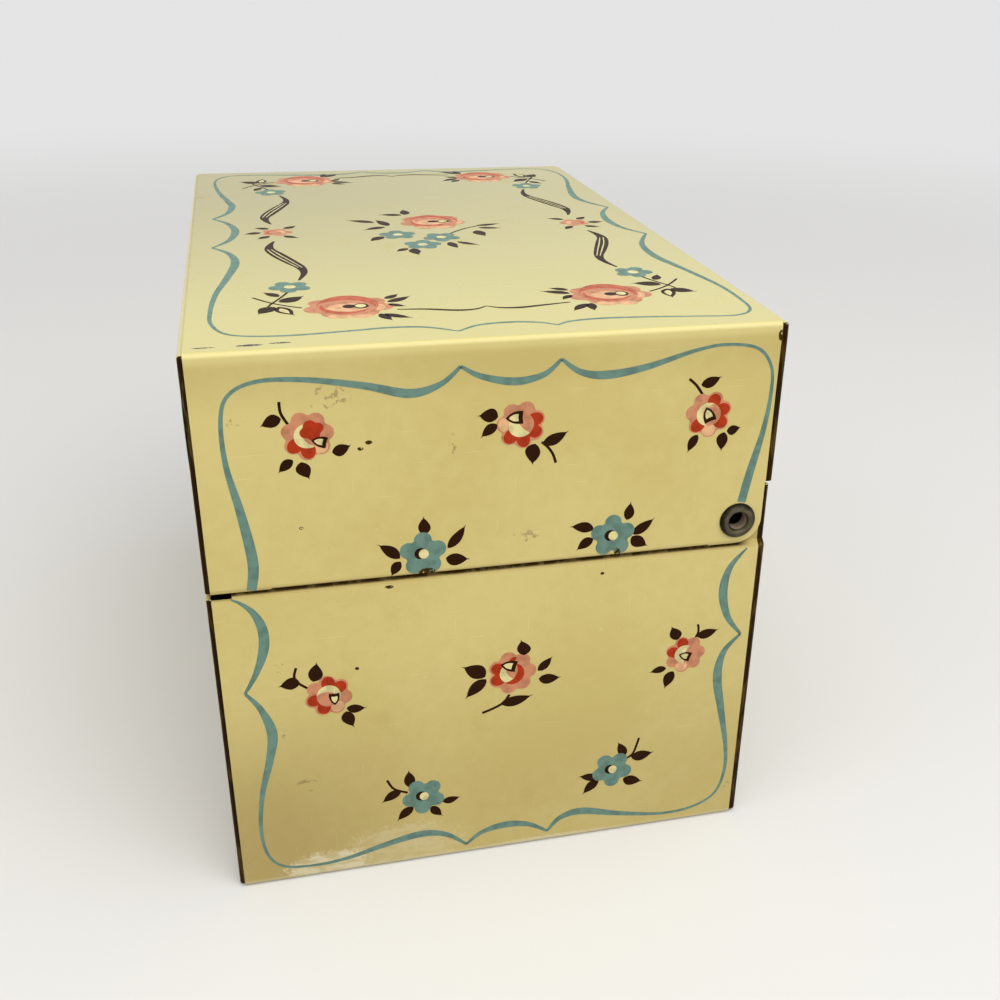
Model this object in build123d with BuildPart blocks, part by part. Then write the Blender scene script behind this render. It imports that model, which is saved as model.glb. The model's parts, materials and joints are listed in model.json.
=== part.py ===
from build123d import *
import os
from math import radians, sqrt, tan

# Tin recipe card box with a riveted, swinging lid.
#
# Body and lid are each three pieces of printed tinplate.  A wrap, bent in a U, makes
# both sides and the floor (or the top).  A pressed pan closes it in front and another
# one behind: their flanges lie inside the wrap, and only their bends show, as a narrow
# strip along its edges.  The body is set in to a neck that the lid closes over, and
# two hollow rivets through lid and neck are the hinge.
#
# Millimetres.  The origin is at the middle of the footprint, +X to the right of
# someone facing the box, +Y to the back and +Z up.

# ---- driving dimensions --------------------------------------------------------
width = 140.0          # over the two side faces
depth = 90.0           # over the front and back faces
height = 94.5          # floor to top
sheet = 0.3            # tinplate
rim = 0.5              # outside radius of the pans' bends
strip_front = 0.8      # how far the front pans stand out before the wraps
strip_back = 1.3       # and the back pans behind them

seam = 57.2            # lower edge of the lid
seam_gap = 1.0         # from there down to the top of the body's flush walls
neck_rise = 11.8       # the neck's height inside the lid
neck_gap = 0.3         # between the neck and the lid's flanges and hems
swing_gap = 0.25       # between the neck's front edge and the lid's front hem as it opens
shoulder_turn = 45.0   # degrees that the body's sides turn in by, below the neck
hem = 3.0              # height of the folded edges
hem_relief = 0.5       # from a hem's end to the next piece

hinge_set = 5.6        # from the back face to the hinge axis
ear = 4.2              # radius of the lid's rounded rear corners, about the hinge
back_rise = 6.4        # from the hinge axis up to the lower edge of the lid's back
back_gap = 1.1         # from there down to the top of the body's back
notch_long = 3.0       # corner notch at the front of each body side
notch_drop = 0.3       # from the body's flush top down to the notch's floor

shank_r = 1.9          # hollow rivets
bore_r = 1.45
head_r = 3.05
head_rise = 0.8
clinch_r = 2.75
clinch_rise = 0.6
rivet_land = 0.85      # flange left beyond the clinch
rivet_play = 0.05      # shank in the lid's holes
rivet_fit = 0.01       # shank in the body's holes
head_play = 0.05       # under the head

# ---- worked out ----------------------------------------------------------------
side = width / 2
face = depth / 2
bend = rim + sheet                      # outside radius of the wraps' bends
wrap_front = face - strip_front         # from the middle to the wraps' front edges
wrap_back = face - strip_back           # and to their back edges
pan_side = side - sheet                 # outer face of the pans' flanges
pivot_y = face - hinge_set
pivot_z = seam + ear                    # the ear runs tangent into the lid's lower edge
back_edge = pivot_z + back_rise
flange = hinge_set + clinch_r + rivet_land  # a pan's flange takes the whole clinch
flange_end = face - flange
hem_end = flange_end - hem_relief       # where the wraps' folded edges stop
pan_hem = 2 * (pan_side - rim - hem_relief)

# The neck is set in behind the lid's flanges at the sides.  At the front its top
# edge turns about the hinge and has to pass the lid's hem.  The back stays flush, and
# ends just below the lid's back, whose lower edge turns clear of it.
shoulder = seam - seam_gap
neck_top = seam + neck_rise
inset_x = 2 * sheet + neck_gap
hem_reach = face + pivot_y - 2 * sheet - swing_gap
neck_reach = sqrt(hem_reach**2 - (neck_top - pivot_z) ** 2)
inset_y = face + pivot_y - neck_reach
shoulder_rise = inset_x / tan(radians(shoulder_turn))
neck_start = shoulder + shoulder_rise
back_top = back_edge - back_gap
nest_drop = sheet * tan(radians(shoulder_turn / 2))  # a nested sheet's shoulder is lower
notch_end = notch_long - wrap_front
notch_floor = shoulder - notch_drop
grip_inside = pan_side - inset_x - sheet  # inner face of the flange that a rivet holds

os.makedirs("parts", exist_ok=True)


# ---- shared shapes -------------------------------------------------------------
def folded_edge(at: Plane, run: float) -> Part:
    """A hem: the sheet turned back on itself, the fold on the plane's origin, its Y inwards."""
    with BuildPart() as fold:
        with BuildSketch(at):
            with Locations((0, sheet)):
                Circle(sheet)
                Rectangle(2 * sheet, hem - sheet, align=(Align.CENTER, Align.MIN))
        extrude(amount=run / 2, both=True)
    return fold.part


def fold_room(at: Plane, run: float) -> Part:
    """What the fold's round edge takes from the flat sheet."""
    with BuildPart() as room:
        with BuildSketch(at):
            Rectangle(2 * sheet, sheet, align=(Align.CENTER, Align.MIN))
        extrude(amount=run / 2, both=True)
    return room.part


def body_pan_form(skin: float, reach: float, set_in: float, top: float) -> Part:
    """A body pan as a solid block, drawn in by skin on each side that is closed."""
    half = pan_side - skin
    front = skin - face
    radius = rim - skin
    floor = sheet + skin
    start = shoulder - nest_drop * (1 + skin / sheet)
    with BuildPart() as form:
        with BuildSketch(Plane.XY.offset(floor)):
            with BuildLine():
                Polyline((-half, reach), (-half, front), (half, front), (half, reach), close=True)
            make_face()
        extrude(amount=start - floor)
        corners = form.edges().filter_by(Axis.Z).group_by(Axis.Y)[0]
        floor_bends = form.edges().group_by(Axis.Z)[0].sort_by(Axis.Y)[:-1]
        fillet(corners + floor_bends, radius=radius)
        for z, draw_x, draw_y in ((start, 0, 0), (start + shoulder_rise, inset_x, set_in)):
            with BuildSketch(Plane.XY.offset(z)):
                with BuildLine():
                    FilletPolyline(
                        (draw_x - half, reach),
                        (draw_x - half, front + draw_y),
                        (half - draw_x, front + draw_y),
                        (half - draw_x, reach),
                        radius=radius,
                    )
                    Line((half - draw_x, reach), (draw_x - half, reach))
                make_face()
        loft(ruled=True)
        extrude(form.faces().sort_by(Axis.Z)[-1], amount=top + skin - start - shoulder_rise)
    return form.part


def body_pan(set_in: float, top: float) -> Part:
    """A body pan at the front: a face, three flanges behind it and a neck, set in so far."""
    fold = Plane((0, set_in + sheet - face, top), x_dir=(0, 1, 0), z_dir=(-1, 0, 0))
    with BuildPart() as pan:
        add(body_pan_form(0, -flange_end, set_in, top))
        add(body_pan_form(sheet, sheet - flange_end, set_in, top), mode=Mode.SUBTRACT)
        add(fold_room(fold, pan_hem - 2 * inset_x), mode=Mode.SUBTRACT)
        add(folded_edge(fold, pan_hem - 2 * inset_x))
    return pan.part


def lid_pan(lower: float) -> Part:
    """The lid's front pan, down to the height given: a face and three flanges behind it."""
    fold = Plane((0, sheet - face, lower), x_dir=(0, 1, 0), z_dir=(1, 0, 0))
    with BuildPart() as pan:
        with BuildSketch(Plane.XY.offset(lower)):
            with Locations((0, -face)):
                Rectangle(2 * pan_side, flange, align=(Align.CENTER, Align.MIN))
        extrude(amount=height - sheet - lower)
        corners = pan.edges().filter_by(Axis.Z).group_by(Axis.Y)[0]
        crown = pan.edges().group_by(Axis.Z)[-1].sort_by(Axis.Y)[:-1]
        fillet(corners + crown, radius=rim)
        under = pan.faces().sort_by(Axis.Z)[0]
        behind = pan.faces().sort_by(Axis.Y)[-1]
        offset(amount=-sheet, openings=[under, behind])
        add(fold_room(fold, pan_hem), mode=Mode.SUBTRACT)
        add(folded_edge(fold, pan_hem))
    return pan.part


# ---- body ----------------------------------------------------------------------
with BuildPart() as body_wrap:
    with BuildSketch(Plane.XZ.offset(-wrap_back)):
        with BuildLine():
            FilletPolyline(
                (inset_x - side, neck_top),
                (inset_x - side, neck_start),
                (-side, shoulder),
                (-side, 0),
                (side, 0),
                (side, shoulder),
                (side - inset_x, neck_start),
                (side - inset_x, neck_top),
                radius=[0, 0, bend, bend, 0, 0],
            )
            offset(amount=sheet, side=Side.LEFT, kind=Kind.INTERSECTION)
        make_face()
    extrude(amount=wrap_front + wrap_back)
    with BuildSketch(Plane.YZ):
        with BuildLine():
            Polyline(
                (-wrap_front, notch_floor),
                (notch_end, notch_floor),
                (notch_end, height),
                (-wrap_front, height),
                close=True,
            )
        make_face()
    extrude(amount=width, both=True, mode=Mode.SUBTRACT)
    for way in (-1, 1):
        top = Plane(
            (way * (side - inset_x - sheet), 0, neck_top), x_dir=(1, 0, 0), z_dir=(0, 1, 0)
        )
        add(fold_room(top, 2 * hem_end), mode=Mode.SUBTRACT)
        add(folded_edge(top, 2 * hem_end))
    with Locations(Plane((0, pivot_y, pivot_z), z_dir=(1, 0, 0))):
        Hole(shank_r + rivet_fit)

with BuildPart() as body_front:
    add(body_pan(inset_y, neck_top))
    with BuildSketch(Plane.YZ):
        with BuildLine():
            Polyline(
                (-wrap_front, notch_floor),
                (notch_end, notch_floor),
                (notch_end, neck_start),
                (-wrap_front, neck_start),
                close=True,
            )
        make_face()
    extrude(amount=width, both=True, mode=Mode.SUBTRACT)

with BuildPart() as body_back:
    add(body_pan(0, back_top).mirror(Plane.XZ))
    with Locations(Plane((0, pivot_y, pivot_z), z_dir=(1, 0, 0))):
        Hole(shank_r + rivet_fit)

# ---- lid -----------------------------------------------------------------------
with BuildPart() as lid_wrap:
    with BuildSketch(Plane.XZ.offset(-wrap_back)):
        with BuildLine():
            FilletPolyline(
                (side, seam), (side, height), (-side, height), (-side, seam), radius=bend
            )
            offset(amount=sheet, side=Side.LEFT, kind=Kind.INTERSECTION)
        make_face()
    extrude(amount=wrap_front + wrap_back)
    with BuildSketch(Plane.YZ):
        with Locations((pivot_y, seam)):
            Rectangle(ear + depth, back_edge - seam, align=Align.MIN)
        with Locations((pivot_y, pivot_z)):
            Circle(ear, mode=Mode.SUBTRACT)
            Rectangle(ear, back_edge - pivot_z, align=Align.MIN, mode=Mode.SUBTRACT)
    extrude(amount=width, both=True, mode=Mode.SUBTRACT)
    ear_start = pivot_y - ear - hem_relief
    for way in (-1, 1):
        middle = (ear_start - hem_end) / 2
        edge = Plane((way * (side - sheet), middle, seam), x_dir=(1, 0, 0), z_dir=(0, -1, 0))
        add(fold_room(edge, ear_start + hem_end), mode=Mode.SUBTRACT)
        add(folded_edge(edge, ear_start + hem_end))
    with Locations(Plane((0, pivot_y, pivot_z), z_dir=(1, 0, 0))):
        Hole(shank_r + rivet_play)

with BuildPart() as lid_front:
    add(lid_pan(seam))

with BuildPart() as lid_back:
    add(lid_pan(back_edge).mirror(Plane.XZ))

# ---- hinge ---------------------------------------------------------------------
under_head = side + head_play
crown_r = (bore_r + head_r) / 2
clinch_crown = (bore_r + clinch_r) / 2

with BuildPart() as rivet_right:
    with BuildSketch(Plane.XY.offset(pivot_z)):
        with BuildLine():
            ThreePointArc(
                (under_head, pivot_y + head_r),
                (under_head + head_rise, pivot_y + crown_r),
                (under_head, pivot_y + bore_r),
            )
            Line((under_head, pivot_y + bore_r), (grip_inside, pivot_y + bore_r))
            Polyline(
                (grip_inside, pivot_y + bore_r),
                (grip_inside - clinch_rise, pivot_y + clinch_crown),
                (grip_inside - clinch_rise / 2, pivot_y + clinch_r),
                (grip_inside, pivot_y + clinch_r),
                (grip_inside, pivot_y + shank_r),
                (under_head, pivot_y + shank_r),
                (under_head, pivot_y + head_r),
            )
        make_face()
    revolve(axis=Axis((0, pivot_y, pivot_z), (1, 0, 0)))

with BuildPart() as rivet_left:
    add(rivet_right.part.mirror(Plane.YZ))

# ---- pieces --------------------------------------------------------------------
pieces = {
    "body_wrap": body_wrap,
    "body_front": body_front,
    "body_back": body_back,
    "lid_wrap": lid_wrap,
    "lid_front": lid_front,
    "lid_back": lid_back,
    "rivet_left": rivet_left,
    "rivet_right": rivet_right,
}
for name, piece in pieces.items():
    piece.part.label = name
    export_step(piece.part, f"parts/{name}.step")
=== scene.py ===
import json
import math
import random

import bmesh
import bpy
from mathutils import Matrix, Vector


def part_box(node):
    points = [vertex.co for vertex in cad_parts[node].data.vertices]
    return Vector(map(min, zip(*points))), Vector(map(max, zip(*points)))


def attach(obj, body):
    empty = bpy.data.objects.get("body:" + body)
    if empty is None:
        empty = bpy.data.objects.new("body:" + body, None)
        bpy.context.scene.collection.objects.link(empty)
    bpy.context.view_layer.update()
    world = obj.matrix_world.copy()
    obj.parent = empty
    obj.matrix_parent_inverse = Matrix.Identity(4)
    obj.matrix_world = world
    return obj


# The looks of a printed tin box for recipe cards: worn cream lacquer with sprigs of roses and
# blue flowers inside a scalloped line, bare tin inside, and darkened rivets.

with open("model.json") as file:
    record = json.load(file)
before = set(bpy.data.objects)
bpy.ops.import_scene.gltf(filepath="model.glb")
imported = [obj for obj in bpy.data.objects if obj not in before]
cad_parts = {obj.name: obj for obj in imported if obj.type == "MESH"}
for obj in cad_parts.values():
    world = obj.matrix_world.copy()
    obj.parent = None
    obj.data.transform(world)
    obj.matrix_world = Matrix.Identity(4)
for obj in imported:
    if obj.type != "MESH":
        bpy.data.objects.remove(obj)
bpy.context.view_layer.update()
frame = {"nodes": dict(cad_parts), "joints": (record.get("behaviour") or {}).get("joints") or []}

# ---- sizes, in millimetres ----
MM = 0.001


def box_mm(node):
    """A node's lowest and highest corners."""
    return [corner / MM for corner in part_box(node)]


lid_low, lid_high = box_mm("lid_wrap")
lid_back_low, lid_back_high = box_mm("lid_back")
SIDE = lid_high.x                      # outer face of the two sides
TOP = lid_high.z
FACE = lid_back_high.y                 # outer face of the back, and of the front
SEAM = lid_low.z                       # lower edge of the lid
SEAM_GAP = 1.0
SHOULDER = SEAM - SEAM_GAP             # top of the body's flush walls
LID_BACK_EDGE = lid_back_low.z
BODY_BACK_TOP = box_mm("body_back")[1].z
NECK_TOP = box_mm("body_wrap")[1].z
HEM = 3.0                              # height of the folded edges
HINGE_Y, HINGE_Z = (place / MM for place in frame["joints"][0]["pos_m"][1:])
BORE = 1.45                            # inner radius of the rivets

SINK = 0.02                            # the print's foot is this deep in the sheet
FILM, LAYER = 0.02, 0.006              # height of the lowest ink, and of each layer over it
STROKE_STEP = 0.4                      # between a stroke's cross-sections
FINEST = 0.12                          # width of a stroke's drawn-out end

# ---- colours, as they are seen ----
INKS = {
    "blue": (111, 143, 130),
    "rose": (208, 142, 107),
    "coral": (198, 98, 68),
    "red": (180, 58, 28),
    "blush": (234, 184, 138),
    "cream": (232, 221, 160),
    "brown": (44, 18, 0),
}
CREAM = (216, 200, 128)
CREAM_DEEP = (208, 190, 115)
# grime in smudges, and painted shade: towards the body's foot, above the lid's edge, below the
# top's bends and on the seam's ledge
GRIME_AND_SHADE = (150, 122, 66)
PATINA = (42, 28, 11)
RUST = (84, 58, 20)
DIRT = (104, 84, 40)
CHIP = (62, 45, 15)                    # where the lacquer is gone, down to darkened tin
# pale worn lacquer in scratches, scuffed patches and the pans' bends, and painted highlight and
# reflection at the body's foot
BARE_EDGE_AND_SHEEN = (222, 212, 176)
BEND_HIGHLIGHT = (232, 222, 150)           # painted highlight along the lid's top bends
TOP_CREAM_LIT = (215, 207, 132)             # the top's lacquer, paler and greener than the sides: partly painted light from above
TOP_FAR_SHADE = (170, 160, 96)                 # painted shade: the top darker towards its far half
# dirt in the seam, and painted shade in the gap under the lid's edge
SEAM_DIRT_AND_SHADE = (66, 48, 14)
TIN = (198, 195, 184)
TIN_DULL = (186, 181, 167)
BRONZE = (48, 42, 27)
# rubbed bronze, and a painted highlight round the rivets' crowns
BRONZE_WORN_AND_SHEEN = (140, 132, 106)
# painted shade at the rivets' rims
RIVET_RIM_SHADE = (20, 13, 4)
# painted light in the rivets' bores
BORE_LIGHT = (144, 129, 106)
FLOOR = (226, 225, 222)
FLOOR_BOUNCE = (150, 143, 130)         # what the floor sends back up to the box


def colour(rgb):
    """A colour as seen, 0 to 255, as the shaders take it."""
    linear = [(c / 255 / 12.92) if c < 10 else ((c / 255 + 0.055) / 1.055) ** 2.4 for c in rgb]
    return (*linear, 1.0)


# ---- node trees ----
class Field:
    """A number that varies over a surface: a socket that is used in sums as numbers are."""

    def __init__(self, tree, socket):
        self.tree = tree
        self.socket = socket

    def math(self, operation, *others):
        return self.tree.number("ShaderNodeMath", {"operation": operation}, self, *others)

    def __add__(self, other):
        return self.math("ADD", other)

    def __mul__(self, other):
        return self.math("MULTIPLY", other)

    def __sub__(self, other):
        return self.math("SUBTRACT", other)

    def __rsub__(self, other):
        return self.math("MULTIPLY", -1.0) + other

    __radd__ = __add__
    __rmul__ = __mul__

    def sign(self):
        return self.math("SIGN")

    def most(self, other):
        return self.math("MAXIMUM", other)

    def equals(self, other):
        return self.math("COMPARE", other, 0.5)

    def rise(self, low, high):
        """0 below low and 1 above high, with a soft step between; low may be the larger."""
        soft = {"interpolation_type": "SMOOTHSTEP"}
        return self.tree.number("ShaderNodeMapRange", soft, Value=self, From_Min=low, From_Max=high)

    def between(self, start, full, fading, end):
        """0 up to start, 1 from full to fading, and 0 again from end on."""
        return self.rise(start, full) * self.rise(end, fading)


class Tree:
    """A node tree, and the one way in which a node is added to it."""

    def __init__(self, tree):
        self.tree = tree

    def node(self, kind, settings=None, *values, **named):
        """Adds a node: its settings, then values or links for sockets, in order or by name."""
        node = self.tree.nodes.new(kind)
        for setting, value in (settings or {}).items():
            setattr(node, setting, value)
        for socket, value in zip(node.inputs, values):
            self.feed(socket, value)
        for name, value in named.items():
            known = (s for s in node.inputs if name in (s.identifier, s.name.replace(" ", "_")))
            self.feed(next(known), value)
        return node

    def number(self, kind, settings=None, *values, output=0, **named):
        """Adds a node whose output, the first one unless it is named, is a number."""
        return Field(self, self.node(kind, settings, *values, **named).outputs[output])

    def feed(self, socket, value):
        """Sets a socket, or links it to another, to a field's or to a node's first output."""
        if isinstance(value, Field):
            value = value.socket
        elif isinstance(value, bpy.types.Node):
            value = value.outputs[0]
        if isinstance(value, bpy.types.NodeSocket):
            self.tree.links.new(value, socket)
        else:
            socket.default_value = value

    def vector(self, operation, *values, **named):
        """A sum on vectors."""
        return self.node("ShaderNodeVectorMath", {"operation": operation}, *values, **named)

    def length(self, vector):
        return self.number("ShaderNodeVectorMath", {"operation": "LENGTH"}, vector, output="Value")

    def parts(self, vector):
        """A vector's three numbers."""
        return [Field(self, s) for s in self.node("ShaderNodeSeparateXYZ", None, vector).outputs]


class Finish(Tree):
    """A material: its places and facings are the piece's own, in millimetres."""

    def __init__(self, name):
        self.material = bpy.data.materials.new(name)
        self.material.use_nodes = True
        super().__init__(self.material.node_tree)
        self.tree.nodes.clear()
        coordinates = self.node("ShaderNodeTexCoord")
        self.place = self.vector("SCALE", coordinates.outputs["Object"], Scale=1 / MM)
        self.x, self.y, self.z = self.parts(self.place)
        self.facing_x, self.facing_y, self.facing_z = self.parts(coordinates.outputs["Normal"])

    def grain(self, size, detail, stretch=(1, 1, 1), shift=0.0):
        """Soft noise about 0.5, its blotches about size across, drawn out by stretch."""
        scale = [1 / (size * s) for s in stretch]
        place = self.vector("MULTIPLY_ADD", self.place, scale, [shift] * 3)
        return self.number("ShaderNodeTexNoise", Vector=place, Scale=1.0, Detail=detail)

    def specks(self, spacing, size, share, shift):
        """1 in round specks up to size across, in that share of cells spacing apart."""
        place = self.vector("MULTIPLY_ADD", self.place, [1 / spacing] * 3, [shift] * 3)
        cells = self.node("ShaderNodeTexVoronoi", Vector=place, Scale=1.0)
        chance, bigness, _ = self.parts(cells.outputs["Color"])
        reach = bigness * (size / spacing / 2)
        inside = (reach - Field(self, cells.outputs["Distance"])).rise(0.0, 0.25 * size / spacing)
        return inside * chance.rise(1 - share, 1.001 - share)

    def mark(self, centre, reach, ragged=0.5):
        """1 inside a ragged patch that reaches so far each way from its centre."""
        away = self.vector("DIVIDE", self.vector("SUBTRACT", self.place, centre), reach)
        distance = self.length(away) + self.grain(0.7, 3) * ragged
        return distance.rise(1.0 + ragged / 2, 0.7 + ragged / 2)

    def chips(self, places):
        """1 inside any of the chips, each given by its centre and its reach."""
        worn = self.grain(0.5, 3, shift=29).rise(0.37, 0.45)
        inside = [self.mark(centre, reach) for centre, reach in places]
        return sum(inside[1:], inside[0]) * worn if inside else 0.0

    def mix(self, first, second, share):
        """The first colour where share is 0, and the second where it is 1."""
        first, second = (colour(c) if isinstance(c, tuple) else c for c in (first, second))
        colours = {"A_Color": first, "B_Color": second}
        node = self.node("ShaderNodeMix", {"data_type": "RGBA"}, Factor_Float=share, **colours)
        return next(s for s in node.outputs if s.identifier == "Result_Color")

    def over(self, base, *coats):
        """base under coats, each a colour and how far it covers."""
        for tone, share in coats:
            base = self.mix(base, tone, share)
        return base

    def done(self, base, roughness, metallic, height, height_mm, ior=1.5):
        """Closes the finish: height is 0 to 1 and lifts the surface by up to height_mm."""
        bump = self.node("ShaderNodeBump", Distance=height_mm * MM, Height=height)
        shader = self.node(
            "ShaderNodeBsdfPrincipled",
            Base_Color=base, Roughness=roughness, Metallic=metallic, IOR=ior, Normal=bump,
        )
        self.node("ShaderNodeOutputMaterial", Surface=shader)
        return self.material


def blend(first, second, share):
    """A number: first where share is 0, second where it is 1."""
    return first * (1 - share) + share * second


# ---- finishes ----
def on_side(y, z, reach_y, reach_z):
    """A patch on the right side: its centre, and its reach each way."""
    return (SIDE, y, z), (1.0, reach_y, reach_z)


# Chips down to darkened tin, soiled patches, and scuffed patches, each with its strength; those
# along the body's foot are pale worn lacquer and partly a painted reflection.
EDGE_CHIPS = [on_side(-11.7, 57.6, 1.6, 0.7), on_side(19.1, 57.6, 0.6, 1.0)]
LID_CHIPS = EDGE_CHIPS + [
    ((67.5, -41.5, TOP), (0.28, 1.8, 1.0)),
    ((67.4, -35.2, TOP), (0.5, 2.1, 1.0)),
    ((67.0, -31.0, TOP), (0.36, 1.7, 1.0)),
    on_side(-30.2, 66.9, 0.35, 0.3),
    on_side(-20.9, 78.9, 0.5, 0.35),
    on_side(-19.7, 79.8, 0.6, 0.4),
    on_side(43.6, 92.4, 0.6, 1.0),
]
LID_SOIL = [
    on_side(-25.0, 87.0, 3.2, 2.2),
    on_side(-7.6, 78.6, 0.9, 2.0),
    on_side(-38.4, 84.3, 1.8, 0.8),
    on_side(4.0, 62.0, 2.4, 1.2),
]
BODY_CHIPS = [
    on_side(-17.6, 55.5, 0.8, 0.35),
    on_side(-23.3, 41.3, 0.4, 0.35),
    on_side(16.8, 54.0, 0.4, 0.3),
]
BODY_SOIL = [
    on_side(-36.6, 30.5, 1.6, 1.4),
    on_side(-35.5, 43.0, 1.2, 1.0),
    on_side(-32.4, 19.6, 2.0, 1.5),
    on_side(42.3, 6.8, 1.1, 0.9),
]
SCUFFS_AND_SHEEN = [
    (*on_side(-30.0, 2.2, 8.0, 3.2), 0.9),
    (*on_side(-17.0, 3.0, 12.0, 6.5), 0.35),
    (*on_side(8.0, 0.3, 18.0, 1.1), 0.5),
]


def lacquer(finish):
    """Aged cream lacquer: base colour, roughness and height."""
    tone = finish.grain(34, 2) * 0.7 + finish.grain(2.5, 4, shift=7) * 0.3
    smudges = finish.grain(7, 5, shift=31).rise(0.56, 0.74)
    smudges = smudges * finish.grain(30, 1, shift=11).rise(0.45, 0.6)
    faint = finish.specks(3.4, 0.4, 0.14, shift=3) * 0.35
    dark = finish.specks(9.5, 0.5, 0.1, shift=17) * 0.8
    long_scratch = finish.grain(0.3, 1, stretch=(1, 34, 1), shift=5).rise(0.74, 0.8)
    steep_scratch = finish.grain(0.3, 1, stretch=(1, 1, 26), shift=9).rise(0.76, 0.82)
    scratches = long_scratch.most(steep_scratch)
    base = finish.over(
        CREAM,
        (CREAM_DEEP, tone.rise(0.35, 0.65)),
        (GRIME_AND_SHADE, smudges * 0.12),
        (RUST, faint.most(dark)),
        (BARE_EDGE_AND_SHEEN, scratches * 0.14),
    )
    uneven = finish.grain(1.2, 3, shift=2) * 0.05
    roughness = 0.19 + smudges * 0.16 + scratches * 0.2 + uneven
    height = finish.grain(22, 2, shift=13) * 0.85 + finish.grain(0.8, 2) * 0.02
    return base, roughness, height - scratches * 0.03


def bare_tin(finish):
    """Bare rolled tin, dull with age: base colour and roughness."""
    age = finish.grain(16, 4, shift=21).rise(0.25, 0.8)
    spots = finish.specks(6.5, 0.6, 0.16, shift=8)
    rolled = finish.grain(0.5, 2, stretch=(40, 1, 1), shift=6)
    base = finish.over(TIN, (TIN_DULL, age), (RUST, spots * 0.7))
    return base, 0.4 + age * 0.04 + rolled * 0.04


def body_painted_light(finish):
    """Painted light and shade on the body's lacquer: colours, each with how far it covers."""
    return [
        # painted shade: darker towards the bottom, and more towards the front's foot
        (GRIME_AND_SHADE, finish.z.rise(48, 8) * 0.26),
        (GRIME_AND_SHADE, finish.z.rise(44, 6) * finish.y.rise(-6, -40) * 0.42),
        # painted highlight: paler along the bottom bend
        (BARE_EDGE_AND_SHEEN, finish.z.rise(1.3, 0.5) * 0.5),
    ]


def lid_painted_light(finish, foot):
    """Painted light and shade on the lid's lacquer, whose lower edge is at foot: colours, each with
    how far it covers.
    """
    bend_highlight = finish.z.rise(TOP - 2.4, TOP - 0.9) * finish.facing_z.rise(0.99, 0.9)
    flat_top = finish.facing_z.rise(0.9, 0.99)
    far_shade = finish.x.rise(80, -50) * (finish.y.rise(45, -45) * 0.3 + 0.6)
    return [
        # painted shade: darker just above the lid's lower edge, and over the upper part under the
        # top's bends
        (GRIME_AND_SHADE, finish.z.rise(foot + 0.8, foot) * 0.5),
        (GRIME_AND_SHADE, finish.z.rise(TOP - 10, TOP - 4) * 0.16),
        # painted highlight: paler along the top's bends
        (BEND_HIGHLIGHT, bend_highlight * 0.5),
        # the top paler and greener, partly painted light from above
        (TOP_CREAM_LIT, flat_top * 0.8),
        # painted shade: the top darker towards its far half
        (TOP_FAR_SHADE, far_shade * flat_top),
    ]


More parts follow.
